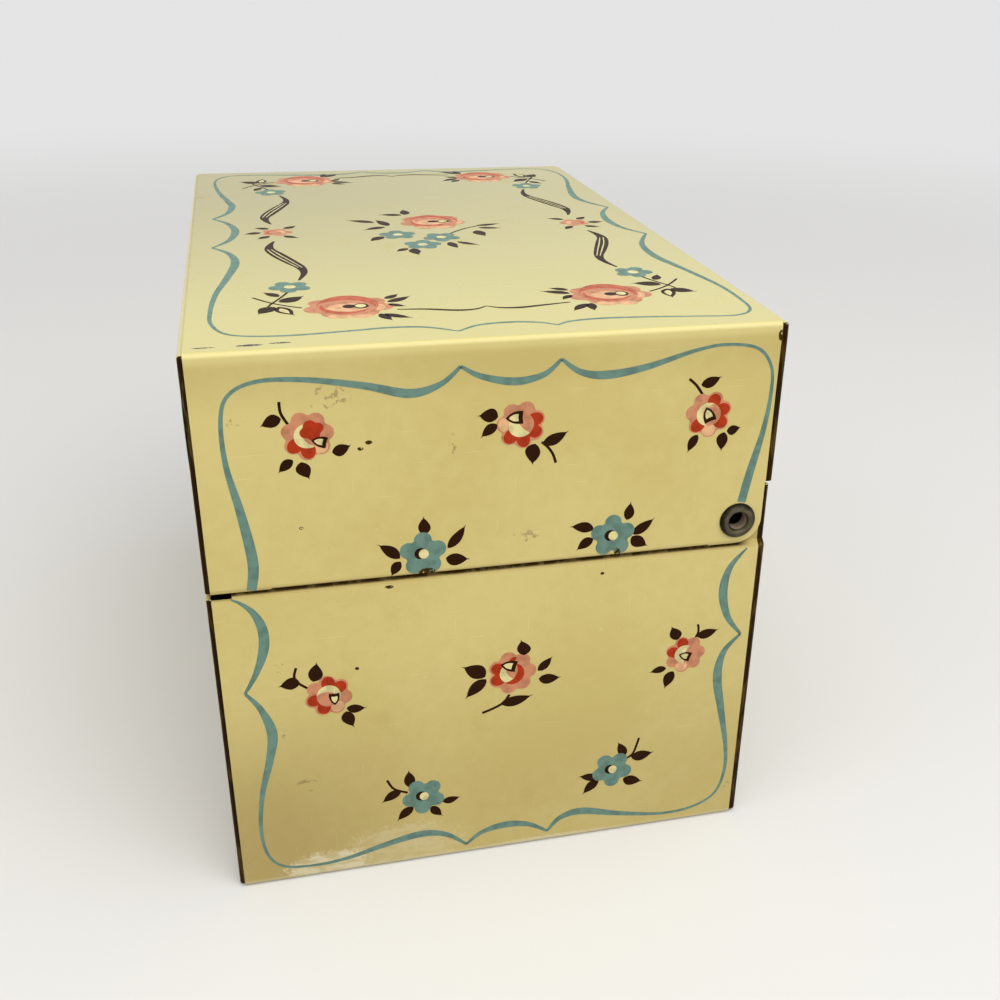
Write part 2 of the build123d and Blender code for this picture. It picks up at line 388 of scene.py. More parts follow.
def tin_finish(node, closed_way, hem_foot, pan=False, necked=False, chips=(), soil=(), scuffs=()):
    """Printed tinplate: lacquer on the sheet's outer face and its folded edge, bare tin inside.

    closed_way is 1 if the piece is closed above and -1 if below, and necked says whether it
    has a neck above the seam.
    """
    finish = Finish(node + "_tin")
    x, y, z = finish.x, finish.y, finish.z
    sideways = finish.facing_x * x.sign()
    facing_edge = finish.facing_y * y.sign()
    outward = sideways.most(finish.facing_z * closed_way)
    if pan:
        outward = outward.most(facing_edge)
    if necked:
        ledge = z.between(SHOULDER - 0.6, SHOULDER - 0.5, SEAM + 1.1, SEAM + 1.2)
        outward = outward.most(finish.facing_z * ledge)
    hem_head = hem_foot + HEM + 0.8
    folded = z.between(hem_foot - 0.05, hem_foot + 0.05, hem_head, hem_head + 0.1)
    printed = outward.rise(0.2, 0.35).most(folded)

    paint, paint_roughness, height = lacquer(finish)
    # painted light and shade go over the lacquer here: shade, highlights and the top's lit tint
    painted_light = lid_painted_light(finish, hem_foot) if closed_way > 0 else body_painted_light(finish)
    paint = finish.over(paint, *painted_light)
    # pale worn lacquer, and partly a painted reflection along the body's foot
    for centre, reach, strength in scuffs:
        streaky = finish.grain(1.2, 4, stretch=(1, 2.5, 1), shift=4).rise(0.38, 0.6) * 0.6 + 0.35
        paint = finish.mix(paint, BARE_EDGE_AND_SHEEN, finish.mark(centre, reach, 0.9) * streaky * strength)
    blotches = finish.grain(1.1, 4, shift=19).rise(0.53, 0.6) * 0.5
    for centre, reach in soil:
        paint = finish.mix(paint, DIRT, finish.mark(centre, reach, 0.9) * blotches)
    chipped = finish.chips(chips)

    bare, bare_roughness = bare_tin(finish)
    base = finish.over(bare, (paint, printed), (CHIP, chipped))
    roughness = blend(bare_roughness, paint_roughness, printed)
    metallic = (1 - printed).most(chipped)

    if necked:
        # Dirt in the seam along the foot of the neck, and painted shade: a dark line in the gap
        # under the lid's edge and a darker ledge below it.
        seam_grime_and_shade = z.between(SHOULDER - 0.2, SHOULDER + 0.1, SEAM + 1, SEAM + 5) * printed
        # painted shade, with dirt: the dark line in the gap under the lid's edge
        line = z.between(SHOULDER + 0.1, SHOULDER + 0.45, SEAM + 0.2, SEAM + 1)
        line = line * y.rise(HINGE_Y + 3.2, HINGE_Y + 0.6) * printed
        line = line * (finish.grain(1.6, 4, shift=51).rise(0.35, 0.55) * 0.25 + 0.75)
        base = finish.over(base, (GRIME_AND_SHADE, seam_grime_and_shade * 0.5), (SEAM_DIRT_AND_SHADE, line))
        roughness = blend(roughness, 0.85, seam_grime_and_shade)
        metallic = metallic.most(line)
    if pan:
        # The pans' bends, which show as strips beside the wraps, have lost their lacquer.
        ragged = finish.grain(1.1, 4, stretch=(1, 1, 3), shift=15) * 0.5
        bent = sideways if closed_way > 0 else sideways.most(finish.facing_z * closed_way)
        dark = (bent + ragged).rise(0.5, 0.75) * printed
        streaks = finish.grain(0.9, 4, stretch=(1, 1, 7), shift=25).rise(0.5, 0.66)
        worn = finish.grain(0.7, 3, stretch=(1, 1, 9), shift=35).rise(0.62, 0.7)
        worn = worn * bent.rise(0.95, 0.8)
        rim = finish.over(PATINA, (DIRT, streaks * 0.45), (BARE_EDGE_AND_SHEEN, worn * 0.4))
        base = finish.mix(base, rim, dark)
        roughness = blend(roughness, 0.42, dark)
        metallic = metallic.most(dark)
    else:
        edge = facing_edge.rise(0.6, 0.8)
        rusty = finish.grain(0.8, 4, stretch=(1, 1, 3), shift=45).rise(0.4, 0.6)
        base = finish.mix(base, finish.mix(PATINA, TIN_DULL, rusty), edge)
        metallic = metallic.most(edge * 0.5)
    return finish.done(base, roughness, metallic, height * printed, 0.12)


def bronze_finish():
    """Hollow rivets gone dark, brighter where fingers and the lid rub them, with painted highlights
    round their crowns, painted shade at their rims and painted light in their bores.
    """
    finish = Finish("aged_rivet")
    rubbed = finish.grain(1.6, 3, shift=3).rise(0.45, 0.7)
    dull = finish.grain(0.7, 3, shift=9)
    y, z = finish.y - HINGE_Y, finish.z - HINGE_Z
    away = y * y + z * z
    # painted highlight round the crowns, painted shade at the rims, painted light in the bores
    crown_highlight = away.between(1.6**2, 1.9**2, 2.2**2, 2.7**2)
    rim = away.rise(2.35**2, 2.9**2)
    bore_light = away.rise(BORE**2 * 1.15, BORE**2 * 1.02)
    base = finish.over(
        BRONZE,
        (PATINA, dull.rise(0.45, 0.7) * 0.5),
        (BRONZE_WORN_AND_SHEEN, rubbed * 0.24),
        (BRONZE_WORN_AND_SHEEN, crown_highlight * 0.22),
        (RIVET_RIM_SHADE, rim * 0.85),
        (BORE_LIGHT, bore_light),
    )
    return finish.done(base, 0.25 + dull * 0.12 + bore_light * 0.35, 0.85 - bore_light * 0.75, dull, 0.012)


def ink_finish(name, rgb):
    """Ink under the same lacquer, a little uneven, and rubbed through in small flecks."""
    finish = Finish(name + "_ink")
    darker = tuple(c * 0.88 for c in rgb)
    chipped = finish.chips(EDGE_CHIPS)
    base = finish.over(
        rgb,
        (darker, finish.grain(1.6, 4, shift=2).rise(0.4, 0.65)),
        (CREAM, finish.specks(1.9, 0.22, 0.22, shift=12) * 0.6),
        (CHIP, chipped),
    )
    roughness = 0.36 + finish.grain(1.2, 3, shift=2) * 0.1
    return finish.done(base, roughness, chipped, finish.grain(22, 2, shift=13), 0.1, ior=1.16)


# ---- dabs: the shapes that the brush leaves, on a reach of 1 ----
def polar(reach, degrees):
    """A point's u and v, from its reach and its angle."""
    angle = math.radians(degrees)
    return reach * math.cos(angle), reach * math.sin(angle)


def arc(reach, start, end, steps, centre=0.0):
    """Points on an arc, from one angle in degrees to the other."""
    points = [polar(reach, start + (end - start) * i / steps) for i in range(steps + 1)]
    return [(centre + u, v) for u, v in points]


def leaf_outline():
    """A leaf from 0 to 1, full at its foot, with a curved, drawn-out tip."""
    steps = 16
    along = [i / steps for i in range(steps + 1)]

    def edge(t, side):
        belly = math.sin(math.pi * min(t / 0.88, 1.0) ** 0.8) ** 0.85
        return t, 0.32 * t**3 + side * (0.4 * belly + 0.45 * t * (1 - t))

    return [edge(t, -1) for t in along] + [edge(t, 1) for t in along[-2:0:-1]]


def crescent_outline(back):
    """A crescent, thickest at angle 0: the further back the inner arc's centre, the thicker."""
    horn = 100
    tip_u, tip_v = polar(1, horn)
    inner = math.hypot(tip_u + back, tip_v)
    lean = math.degrees(math.atan2(tip_v, tip_u + back))
    return arc(1, -horn, horn, 16) + arc(inner, lean, -lean, 12, -back)[1:-1]


def fold_outline():
    """The fold of a petal: three drawn-out corners, hollow on the full side."""
    corners = [(-1.15, 0), (0.6, -0.62), (0.6, 0.66)]
    steps = 6
    points = []
    for i, bulge in enumerate((0.14, -0.05, 0.14)):
        (u, v), (next_u, next_v) = corners[i], corners[(i + 1) % 3]
        along, up = next_u - u, next_v - v
        for t in (k / steps for k in range(steps)):
            out = 4 * bulge * t * (1 - t)
            points.append((u + along * t + up * out, v + up * t - along * out))
    return points


def lobed_outline(count, lobe, steps):
    """A flower's outline: count round lobes of that radius, its reach 1 in all."""
    ring = 1 - lobe
    points = []
    for i in range(count * steps):
        turn = (i + 0.5) / steps - 0.5
        along, across = polar(ring, 360 / count * (turn - round(turn)))
        reach = along + math.sqrt(max(lobe**2 - across**2, 0))
        points.append(polar(reach, 360 / count * turn))
    return points


DABS = {
    "petal": arc(1, 0, 345, 23),
    "leaf": leaf_outline(),
    "crescent": crescent_outline(0.8),
    "band": crescent_outline(0.3),
    "boat": crescent_outline(2.2),
    "fold": fold_outline(),
    "tuft": lobed_outline(4, 0.52, 9),
    "blossom": lobed_outline(5, 0.38, 9),
    "rosette": lobed_outline(7, 0.34, 8),
}


def dab_object(index, name, outline):
    """A dab as a closed slab: its foot at 0 and its top at 1."""
    slab = bmesh.new()
    foot = [slab.verts.new((u, v, 0)) for u, v in outline]
    top = [slab.verts.new((u, v, 1)) for u, v in outline]
    slab.faces.new(foot[::-1])
    slab.faces.new(top)
    for i in range(len(outline)):
        slab.faces.new((foot[i - 1], foot[i], top[i], top[i - 1]))
    mesh = bpy.data.meshes.new(f"dab_{index}_{name}")
    slab.to_mesh(mesh)
    slab.free()
    return bpy.data.objects.new(mesh.name, mesh)


# ---- a face's art, drawn flat: +u to the right and +v up ----
class Spot:
    """Where a motif goes: its middle, its turn in degrees, its size and how it is mirrored."""

    def __init__(self, u, v, turn=0.0, size=1.0, flip_u=1, flip_v=1):
        self.middle = Vector((u, v))
        self.size = size
        self.lie = Matrix.Rotation(math.radians(turn), 2) @ Matrix.Diagonal((flip_u, flip_v)) * size

    def point(self, u, v):
        return self.middle + self.lie @ Vector((u, v))

    def angle(self, degrees):
        way = self.lie @ Vector(polar(1, degrees))
        return math.degrees(math.atan2(way.y, way.x))


class Art:
    """The ink on one face: a point for each dab, a line of points for each stroke."""

    def __init__(self):
        self.points = []
        self.lines = []

    def _add(self, at, ink, layer, **more):
        mark = {"dab": 0, "turn": 0.0, "spread": (1.0, 1.0, 1.0), "wide": 0.0}
        mark.update(more, at=at, ink=list(INKS).index(ink), lift=FILM + layer * LAYER)
        self.points.append(mark)

    def dab(self, shape, ink, at, long, wide, turn, layer):
        spread = (long, wide, SINK + FILM + layer * LAYER)
        which = list(DABS).index(shape)
        self._add(at, ink, layer, dab=which, turn=math.radians(turn), spread=spread)

    def dab_on(self, spot, shape, ink, u, v, long, wide, turn, layer):
        """A dab that is placed, sized and turned with a spot."""
        size = spot.size
        self.dab(shape, ink, spot.point(u, v), long * size, wide * size, spot.angle(turn), layer)

    def stroke(self, ink, points, layer=0):
        """A stroke through points, each with the stroke's width there."""
        first = len(self.points)
        for u, v, wide in points:
            self._add((u, v), ink, layer, wide=max(wide, FINEST))
        self.lines += [(i, i + 1) for i in range(first, len(self.points) - 1)]

    def leaf(self, spot, foot, tip, wide, ink="brown", layer=1):
        a, b = spot.point(*foot), spot.point(*tip)
        way = b - a
        turn = math.degrees(math.atan2(way.y, way.x))
        self.dab("leaf", ink, a, way.length, wide * spot.size, turn, layer)

    def mesh(self):
        mesh = bpy.data.meshes.new("art")
        mesh.from_pydata([(*mark["at"], 0) for mark in self.points], self.lines, [])
        kinds = {"dab": "INT", "ink": "INT", "turn": "FLOAT", "wide": "FLOAT", "lift": "FLOAT"}
        for name, kind in kinds.items():
            values = mesh.attributes.new(name, kind, "POINT").data
            values.foreach_set("value", [mark[name] for mark in self.points])
        spread = mesh.attributes.new("spread", "FLOAT_VECTOR", "POINT").data
        spread.foreach_set("vector", [size for mark in self.points for size in mark["spread"]])
        return mesh


# ---- motifs ----
ROSE = 3.8          # reach of a sprig's rose
BLOSSOM = 3.72      # reach of a sprig's blue flower


def eye(art, spot, u, v, reach, turn, layer):
    """A flower's eye: a dark fold, thickest on the side it is turned to, with a light in it."""
    art.dab_on(spot, "fold", "brown", u, v, reach, reach, turn, layer)
    off_u, off_v = polar(0.2 * reach, turn)
    small = 0.56 * reach
    art.dab_on(spot, "fold", "cream", u - off_u, v - off_v, small, small, turn, layer + 1)


def greenery(art, spot, leaves, stem=()):
    """Leaves, each from its foot to its tip with its width, and a stem."""
    for foot_u, foot_v, tip_u, tip_v, wide in leaves:
        art.leaf(spot, (foot_u, foot_v), (tip_u, tip_v), wide)
    art.stroke("brown", [(*spot.point(*place), 0.42 * spot.size) for place in stem])


def rose(art, spot, petals, first, glow, heart, leaves, stem, cup="crescent", strokes=()):
    """A sprig's rose, with its leaves and stem.

    petals has a letter for each of seven petals, from the angle first on: r a red one, b a
    blush one, p plain rose. glow is the side that the light catches, in a cup of that shape,
    and heart places the eye: its middle, its reach and its full side. Strokes are (shape,
    ink, u, v, long, wide, turn).
    """
    chance = random.Random(first)
    art.dab_on(spot, "rosette", "rose", 0, 0, ROSE, ROSE, first, 1)
    for i, letter in enumerate(petals):
        way = first + i * 360 / len(petals) + chance.uniform(-5, 5)
        full = ROSE * chance.uniform(0.92, 1.08)
        if letter == "r":
            at = polar(0.6 * ROSE, way)
            art.dab_on(spot, "petal", "red", *at, 0.33 * full, 0.28 * ROSE, way, 3 + i % 2)
        elif letter == "b":
            at = polar(0.68 * ROSE, way)
            art.dab_on(spot, "petal", "blush", *at, 0.25 * full, 0.29 * ROSE, way, 2)
    art.dab_on(spot, "petal", "rose", 0, 0, 0.53 * ROSE, 0.5 * ROSE, glow, 5)
    art.dab_on(spot, cup, "cream", 0, 0, 0.52 * ROSE, 0.5 * ROSE, glow, 6)
    for stroke in strokes:
        art.dab_on(spot, *stroke, 7)
    eye(art, spot, *heart, 8)
    greenery(art, spot, leaves, stem)


def blossom(art, spot, first, leaves, stem=()):
    """A small blue flower of five round petals, a brown crescent beside its pale eye."""
    size = BLOSSOM * spot.size
    art.dab("blossom", "blue", spot.middle, size, size, spot.angle(first), 2)
    art.dab("petal", "brown", spot.point(-0.4, 0.1), 0.26 * size, 0.26 * size, 0, 3)
    art.dab("petal", "cream", spot.point(0.1, 0), 0.21 * size, 0.22 * size, 0, 4)
    greenery(art, spot, leaves, stem)


# Each sprig, about its flower's middle: how the flower is turned, then its leaves and stem.
ROSE_SPRIGS = [
    dict(
        petals="ppprrbp", first=60, glow=200, heart=(1.9, -1.1, 1.3, -15),
        strokes=[("tuft", "red", 0.6, 0.8, 1.8, 1.6, 20)],
        leaves=[
            (-3.5, 2.8, -6.6, 2.4, 1.9), (3.3, -2.8, 6.2, -2.4, 1.8),
            (-2.3, -3.6, -4.8, -5.1, 1.5), (-1.2, -4, -0.7, -6.9, 2.1),
        ],
        stem=[(-3.6, 5.4), (-3.5, 3.7), (-2.6, 1.9)],
    ),
    dict(
        petals="ppbrrrr", first=72, glow=215, cup="boat", heart=(-0.6, 1.2, 1.55, 0),
        leaves=[
            (-3.5, 1.5, -6.4, 2.5, 2.2), (-3.6, 0.3, -6.4, -1.2, 1.6),
            (3.4, -3.3, 7.6, -2, 1.8), (2.2, -3.2, 1.2, -6.5, 2.4),
        ],
        stem=[(5.5, -6.6), (5, -5.1), (4.1, -3.8), (3.2, -3)],
    ),
    dict(
        petals="rpprbrr", first=69, glow=165, heart=(0.1, -0.4, 1.5, -70),
        strokes=[("band", "blush", 0.2, 0.1, 1.2, 1.3, 150)],
        leaves=[
            (-1.6, 4.9, 1.8, 5.6, 1.7), (-1.5, -3.3, -3.4, -6, 1.5),
            (2.9, -3.2, 2.1, -6.3, 1.9), (3.3, -3, 5.6, -3, 1.6),
        ],
        stem=[(-3.6, 6), (-2.4, 4.9), (-1.3, 3.4)],
    ),
    dict(
        petals="rrprrbp", first=41, glow=75, heart=(0.9, -0.4, 1.3, 90),
        leaves=[
            (-4.3, 3, -7.6, 3.4, 2.2), (-2.3, 3, -0.9, 6.3, 2.3),
            (2.7, -2.8, 5.8, -3.6, 1.6), (2.6, -3.4, 3.1, -6.8, 2.1),
        ],
        stem=[(-4.7, 5.9), (-5.1, 4.3), (-4.5, 3), (-3.2, 1.9)],
    ),
    dict(
        petals="prrpppp", first=104, glow=215, heart=(-0.2, 1.2, 1.45, -15),
        strokes=[
            ("crescent", "red", 0, -0.2, 1.9, 1.9, -28), ("petal", "red", 0.1, 2.4, 0.6, 0.3, 30),
        ],
        leaves=[
            (-4.2, -0.2, -7.3, 2.6, 2.5), (-4, -0.7, -7.7, -3.4, 1.9),
            (1.8, 2.9, 1.9, 5.7, 2.1), (4, -0.2, 6.6, 1.8, 1.4),
            (4.2, -1.7, 7.7, -2.4, 1.8), (-1.8, -5.5, 3.4, -5.1, 1.8),
        ],
        stem=[(-4.7, -6.8), (-3.2, -6.3), (-1.4, -5.4), (-0.4, -4)],
    ),
    dict(
        petals="rrpbppp", first=107, glow=165, cup="boat", heart=(0.3, -0.5, 1.4, -20),
        leaves=[
            (-1.8, 3.2, -2.4, 6.3, 2.2), (1.9, 3.6, 6.2, 4, 1.9),
            (-3.4, -2.6, -6.6, -2.7, 1.4), (-2, -3.4, -4, -6.7, 2.1),
        ],
        stem=[(2, 6), (2.2, 4.4), (1.4, 2.6)],
    ),
]
BLUE_SPRIGS = [
    dict(
        first=90,
        leaves=[
            (0.1, 3.3, 0.7, 6.3, 1.9), (-3.6, -0.4, -6.6, 2.7, 1.8), (-3.5, -1, -5.4, -3.1, 1.6),
            (3.8, 0.6, 7.1, 4.1, 1.6), (3.5, -1.1, 7.1, -2.2, 2.1),
        ],
    ),
    dict(
        first=90,
        leaves=[
            (-3.2, 1.5, -7, 2.8, 1.8), (-3.2, -0.2, -6.2, -1.6, 1.7), (2.2, 2.6, 3.2, 5.6, 1.7),
            (3.2, 0, 7.2, 2.1, 1.7), (3.2, -0.5, 5.6, -2.9, 2.1),
        ],
    ),
    dict(
        first=120,
        leaves=[
            (-2.5, 2.4, -1.9, 5.8, 1.9), (-3.8, 1.8, -7.4, 0.2, 1.7), (-1.8, -2, -5, -4.2, 1.7),
            (1.3, -2.4, 2.8, -5.1, 1.6), (3.2, -1.7, 6.4, -1.6, 1.4),
        ],
        stem=[(-6.1, 4.4), (-5, 2.4), (-2.7, 1.2)],
    ),
    dict(
        first=55,
        leaves=[
            (2.1, 2.4, 1.3, 5.9, 1.7), (3.4, 2.2, 7.6, 2, 2.1), (2.2, -2.4, 5.6, -4.1, 2.1),
            (-2.6, -1.6, -6, -0.2, 1.6), (-2.4, -1.9, -5.6, -4.3, 1.8),
        ],
        stem=[(4.7, 6.1), (3.8, 3), (2.6, 2)],
    ),
]


# A full-blown rose's parts on a reach of 1: shape, ink, place, reach along and across, turn.
CABBAGE_ROSE = [
    ("rosette", "rose", 0, 0, 1, 1, 90),
    ("petal", "blush", -0.3, -0.72, 0.3, 0.17, 0),
    ("petal", "blush", 0.25, -0.76, 0.28, 0.15, 0),
    ("petal", "blush", 0.76, -0.15, 0.19, 0.24, 0),
    ("petal", "coral", 0, 0.1, 0.8, 0.78, 0),
    ("petal", "rose", -0.02, 0.02, 0.78, 0.7, 0),
    ("band", "coral", -0.04, 0.08, 0.72, 0.66, 75),
    ("petal", "blush", -0.05, -0.02, 0.58, 0.5, 0),
    ("crescent", "rose", -0.04, 0.04, 0.56, 0.48, 95),
    ("band", "coral", -0.12, -0.06, 0.6, 0.54, 245),
    ("petal", "brown", 0.02, -0.02, 0.17, 0.14, 0),
    ("petal", "brown", 0.33, -0.03, 0.2, 0.19, 0),
    ("petal", "cream", 0.32, -0.02, 0.14, 0.13, 0),
]


def cabbage_rose(art, middle, long, wide):
    """A full-blown rose, long across and wide along, folded petals round a dark heart."""
    for layer, (shape, ink, u, v, reach, side, turn) in enumerate(CABBAGE_ROSE, 1):
        at = middle + Vector((u * long, v * wide))
        art.dab(shape, ink, at, reach * long, side * wide, turn, layer)


def rose_bud(art, spot):
    """A half-open bud."""
    art.dab_on(spot, "blossom", "rose", 0, 0, 3, 3, 70, 1)
    art.dab_on(spot, "band", "coral", 0, 0, 2.1, 2, 150, 2)
    art.dab_on(spot, "crescent", "blush", 0.3, -0.2, 1.4, 1.6, 20, 3)
    greenery(
        art, spot,
        [
            (1.4, 3.1, 4.2, 5, 1.5), (-1.4, 3.1, -4, 4.8, 1.5), (-2.9, 0, -6.2, -0.3, 1.7),
            (-1.4, -3.1, -4, -5, 1.5), (1.2, -3.1, 3.6, -5.6, 1.5),
        ],
    )


def ribbon(art, spot, points):
    """A brown ribbon with a light line along it, drawn out at its ends."""
    places = [(*spot.point(u, v), wide * spot.size) for u, v, wide in points]
    art.stroke("brown", places)
    for side in (-0.22, 0.14):
        art.stroke("cream", [(u + side * wide, v, wide * 0.1) for u, v, wide in places[2:-2]], 2)


# ---- frame lines: strokes of (u, v, width) between the cusps ----
LID_LINE = [
    [
        (-38.2, 57.3, 1.45), (-37.6, 62, 1.6), (-38.6, 70, 1.3), (-40, 78, 0.8),
        (-40, 85, 0.6), (-38.5, 88.5, 0.55), (-34.5, 90.1, 0.6), (-28, 89.9, 0.8),
        (-20, 88.5, 1.1), (-13.5, 86.9, 1.4), (-9, 88, 0.9), (-6, 90.5, 0.5),
    ],
    [(-6, 90.5, 0.5), (-3, 88.8, 0.9), (2, 87.7, 1.25), (6.4, 88.5, 0.9), (9, 90.7, 0.5)],
    [
        (9, 90.7, 0.5), (12, 88.5, 0.95), (16, 87.8, 1.35), (22, 88.6, 1.05), (30, 90.8, 0.6),
        (35, 91.4, 0.5), (40, 90.5, 0.5), (42.5, 87.4, 0.5), (42.9, 83, 0.6), (42.3, 77, 0.9),
        (40.8, 70, 1.4), (39.8, 64.6, 1.5),
    ],
]
BODY_LINE = [
    [
        (-41.3, 56, 0.3), (-40, 55.2, 0.55), (-38.4, 53.5, 1), (-37.4, 51.2, 1.45),
        (-37.1, 48.8, 1.6), (-37.5, 46, 1.5), (-38.9, 42.3, 0.9), (-40.8, 39, 0.5),
    ],
    [
        (-40.8, 39, 0.5), (-38.7, 35.8, 1), (-37.3, 31, 1.65), (-38, 26, 1.3), (-39.8, 19, 0.85),
        (-40.6, 12, 0.6), (-40, 6.5, 0.5), (-37.7, 3.4, 0.5), (-33, 2.5, 0.5), (-27, 2.9, 0.7),
        (-20, 4.7, 1.1), (-14, 5.8, 1.4), (-9.6, 4.9, 1), (-6, 2, 0.5),
    ],
    [(-6, 2, 0.5), (-3.2, 4.2, 0.9), (1, 5.1, 1.4), (5.2, 4.4, 1), (8.7, 2.2, 0.5)],
    [
        (8.7, 2.2, 0.5), (11, 4.8, 1), (15, 5.6, 1.5), (22, 3.8, 1), (30, 2.3, 0.6),
        (36, 2.7, 0.5), (40.3, 5.1, 0.5), (41.9, 10, 0.6), (41.6, 16, 0.8), (40, 24, 1.3),
        (38.7, 31, 1.65), (39.4, 36, 1.1), (42.2, 39.3, 0.5),
    ],
    [(42.2, 39.3, 0.5), (39.5, 43, 1.1), (38.2, 48, 1.6), (39, 52.6, 1.1), (41.7, 56, 0.3)],
]
TOP_LINE = [
    [
        (-5.5, 67, 0.5), (-10, 64.6, 0.9), (-15, 64, 1.2), (-22, 64.6, 0.9), (-30, 65.6, 0.6),
        (-36.5, 65.3, 0.5), (-39.6, 61.5, 0.5), (-40.3, 55, 0.6), (-39.4, 45, 0.9),
        (-37.6, 35, 1.25), (-36.7, 29, 1.5), (-37.8, 22, 1), (-40.5, 17, 0.5),
    ],
    [(-40.5, 17, 0.5), (-37.6, 12, 1), (-36.3, 5, 1.5), (-37.5, -2.4, 1.1), (-40.5, -8, 0.5)],
    [
        (-40.5, -8, 0.5), (-37.6, -13, 1), (-36.6, -20, 1.5), (-38, -30, 1.2), (-39.8, -40, 0.9),
        (-40.6, -50, 0.7), (-40.3, -57, 0.55), (-37.6, -62.2, 0.5), (-30, -63.8, 0.6),
        (-20, -63, 0.6), (-15, -62.5, 0.7), (-10, -63.2, 0.6), (-5.5, -66, 0.4),
    ],
    [(-5.5, -66, 0.4), (-2, -63.5, 0.6), (3, -62.9, 0.7), (7, -63.8, 0.55), (9.5, -65.5, 0.4)],
    [
        (9.5, -65.5, 0.4), (12, -64, 0.6), (17, -63.4, 0.7), (24, -63.9, 0.6), (31, -64.8, 0.5),
        (38, -65.4, 0.5), (41.4, -62.5, 0.5), (42.1, -56, 0.6), (41.8, -48, 0.8), (39.8, -37, 1.1),
        (37.8, -27, 1.5), (38.4, -17.6, 1.1), (42, -9, 0.5),
    ],
    [(42, -9, 0.5), (39, -3, 1), (38.1, 4, 1.5), (39.2, 11.4, 1), (42, 17, 0.5)],
    [
        (42, 17, 0.5), (38.9, 23.4, 1.1), (38, 30, 1.5), (39.5, 40, 1.1), (41.5, 50, 0.75),
        (41.8, 58, 0.5), (40, 64, 0.5), (36, 66, 0.5), (30, 66, 0.6), (22, 65, 0.9),
        (15, 64.4, 1), (9.5, 66.8, 0.5),
    ],
    [(9.5, 66.8, 0.5), (5, 64.8, 0.8), (1, 64.4, 1), (-3, 65.2, 0.7), (-5.5, 67, 0.5)],
]


def frame_line(art, strokes, reach_u=1.0, reach_v=1.0, held=0.0):
    """The scalloped line, drawn out by reach_u across, and by reach_v up from the height held."""
    for points in strokes:
        drawn = [(u * reach_u, held + (v - held) * reach_v, wide) for u, v, wide in points]
        art.stroke("blue", drawn)


# ---- the art of each face ----
def lid_side_art():
    art = Art()
    frame_line(art, LID_LINE)
    for kind, u, v in zip(ROSE_SPRIGS, (-28.3, 3, 32.8), (81.5, 80.8, 80.3)):
        rose(art, Spot(u, v), **kind)
    for kind, u in zip(BLUE_SPRIGS, (-12.2, 18.2)):
        blossom(art, Spot(u, 60.7), **kind)
    return art


def body_side_art():
    art = Art()
    frame_line(art, BODY_LINE)
    places = ((-28, 36.8, 1), (2, 37, 1.08), (32.3, 36.5, 0.95))
    for kind, (u, v, size) in zip(ROSE_SPRIGS[3:], places):
        rose(art, Spot(u, v, size=size), **kind)
    for kind, u in zip(BLUE_SPRIGS[2:], (-13.3, 20.3)):
        blossom(art, Spot(u, 14), **kind)
    return art


LONG_REACH = 1.62    # how far the line of the sides is drawn out on the long faces
ROSES_AT = (-52, -26, 0, 26, 52)
BLOSSOMS_AT = (-39, -13, 13, 39)


def sprig_row(art, flower, kinds, places, height, seed):
    """Sprigs in a loose row, taking turns, each leaning a little."""
    chance = random.Random(seed)
    for i, u in enumerate(places):
        lean = chance.uniform(-25, 25)
        spot = Spot(u, height + chance.uniform(-0.6, 0.6), lean)
        flower(art, spot, **kinds[(i + seed) % len(kinds)])


def lid_face_art(foot, seed):
    """The lid's front, or its shorter back, which has no room for the lower row."""
    art = Art()
    frame_line(art, LID_LINE, LONG_REACH, (TOP - foot) / (TOP - SEAM), TOP)
    full = foot < SEAM + 1
    sprig_row(art, rose, ROSE_SPRIGS, ROSES_AT, 80.8 if full else 79.8, seed)
    if full:
        sprig_row(art, blossom, BLUE_SPRIGS, BLOSSOMS_AT, 64.6, seed)
    return art


def body_face_art(seed, head=SHOULDER):
    """The body's front, or its back, which goes on up behind the lid's short back."""
    art = Art()
    frame_line(art, BODY_LINE, LONG_REACH, head / SHOULDER)
    sprig_row(art, rose, ROSE_SPRIGS, ROSES_AT, 36.8, seed)
    sprig_row(art, blossom, BLUE_SPRIGS, BLOSSOMS_AT, 15, seed)
    return art


TOP_MIDDLE = (1, 3)
RIBBON = [
    (-27.5, -36.5, 0.4), (-26.4, -32, 1.1), (-26.7, -28, 1.7), (-28.3, -23.5, 2.3),
    (-30.1, -18.5, 2.5), (-31.4, -14, 1.9), (-31.2, -10.5, 1.1), (-30.4, -7.5, 0.35),
]
BRACKET = [
    [
        (-13.8, -56.3, 0.35), (-9.5, -56.9, 0.65), (-5, -58.3, 0.8), (-2, -58.2, 0.55),
        (0, -56.8, 0.25),
    ],
    [(0, -56.8, 0.25), (2, -58.1, 0.55), (5, -58.5, 0.8), (9, -57.8, 0.65), (13.5, -56.9, 0.35)],
]


